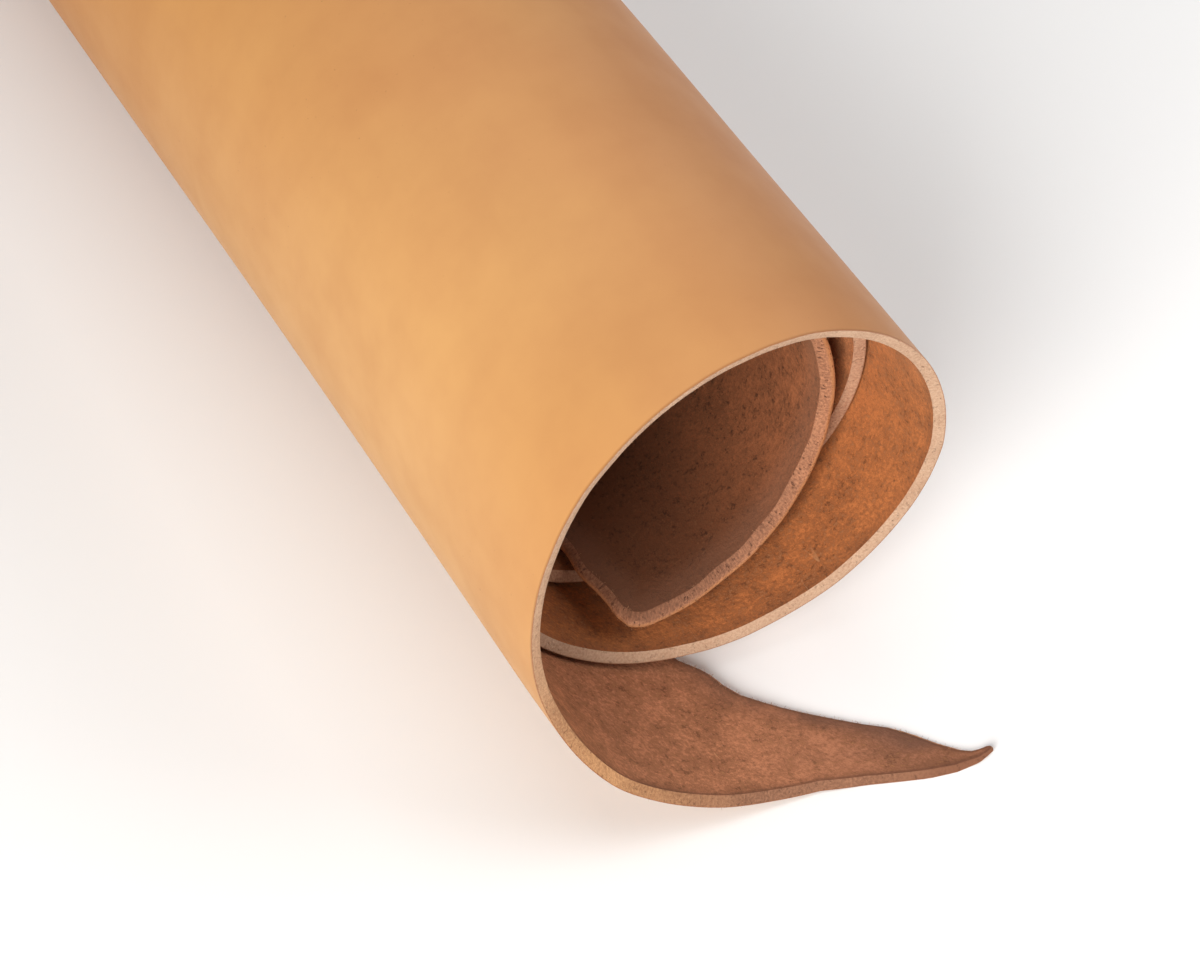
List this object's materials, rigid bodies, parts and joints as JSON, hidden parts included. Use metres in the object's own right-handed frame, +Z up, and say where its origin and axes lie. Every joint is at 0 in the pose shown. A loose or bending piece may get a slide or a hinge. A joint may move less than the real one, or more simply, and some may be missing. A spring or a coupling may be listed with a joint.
{
  "type": "leather side",
  "caption": "Side of vegetable-tanned leather rolled up grain side out, with the outer end running out as a tongue that lies flat in front of the roll",
  "frame": {"origin": "under the middle of the bounding box, on the surface that the roll lies on", "axes": "+Z up, +Y along the roll from its near end with the tongue to its far end, the tongue points to +X"},
  "size_m": [0.1408, 0.9758, 0.152],
  "materials": {
    "leather": "smooth undyed tan grain with a soft sheen outside, brown suede-like flesh side inside, pale cut edges"
  },
  "bodies": {
    "root": {"leather_side": "leather"}
  },
  "joints": []
}
